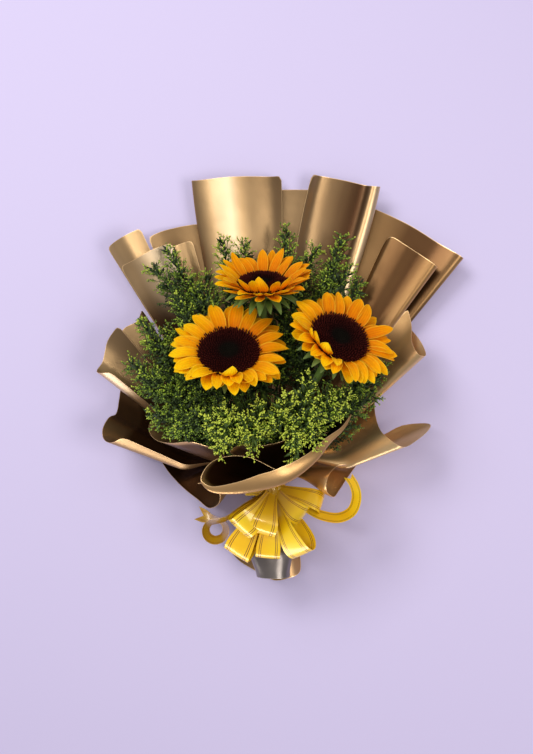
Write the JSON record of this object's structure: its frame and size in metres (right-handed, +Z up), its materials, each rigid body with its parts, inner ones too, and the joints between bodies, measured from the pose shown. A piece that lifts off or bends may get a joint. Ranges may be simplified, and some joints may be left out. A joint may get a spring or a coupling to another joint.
{
  "type": "bunch of sunflowers",
  "caption": "Bunch of sunflowers and goldenrod wrapped in rolled satin florist's paper, tied at the neck with a ribbon bow, lying on its back.",
  "frame": {"origin": "on the surface it lies on, under the middle of its box", "axes": "+X to the right of the bunch seen from above, +Y from the cut stems to the flower heads, +Z up from the surface"},
  "size_m": [0.4322, 0.4922, 0.1842],
  "materials": {
    "gold_paper": "satin",
    "silver_paper": "satin",
    "ribbon": "satin",
    "petal": "satin",
    "disc": "matte",
    "stem": "satin",
    "goldenrod": "matte",
    "stem_band": "matte"
  },
  "bodies": {
    "root": {"goldenrod_front_inner_left": "goldenrod", "goldenrod_front_inner_right": "goldenrod", "goldenrod_front_left": "goldenrod", "goldenrod_front_middle": "goldenrod", "goldenrod_front_right": "goldenrod", "goldenrod_left_high": "goldenrod", "goldenrod_left_lower": "goldenrod", "goldenrod_left_middle": "goldenrod", "goldenrod_left_top": "goldenrod", "goldenrod_left_upper": "goldenrod", "goldenrod_right_lower": "goldenrod", "goldenrod_right_middle": "goldenrod", "goldenrod_right_top": "goldenrod", "goldenrod_top_left": "goldenrod", "goldenrod_top_right": "goldenrod", "handle_paper": "gold_paper", "handle_sleeve": "silver_paper", "paper_back_centre": "gold_paper", "paper_back_left": "gold_paper", "paper_back_right": "gold_paper", "paper_front": "gold_paper", "paper_inner_left": "gold_paper", "paper_inner_right": "gold_paper", "paper_left_back": "gold_paper", "paper_left_cornet": "gold_paper", "paper_left_cuff": "gold_paper", "paper_left_flare": "gold_paper", "paper_left_inner": "gold_paper", "paper_left_outer": "gold_paper", "paper_left_side": "gold_paper", "paper_left_slip": "gold_paper", "paper_right_back": "gold_paper", "paper_right_cornet": "gold_paper", "paper_right_cuff": "gold_paper", "paper_right_flare": "gold_paper", "paper_right_inner": "gold_paper", "ribbon_band": "ribbon", "ribbon_bow": "ribbon", "stem_band": "stem_band", "sunflower_left_disc": "disc", "sunflower_left_petals": "petal", "sunflower_left_stem": "stem", "sunflower_right_disc": "disc", "sunflower_right_petals": "petal", "sunflower_right_stem": "stem", "sunflower_top_disc": "disc", "sunflower_top_petals": "petal", "sunflower_top_stem": "stem"}
  },
  "joints": []
}
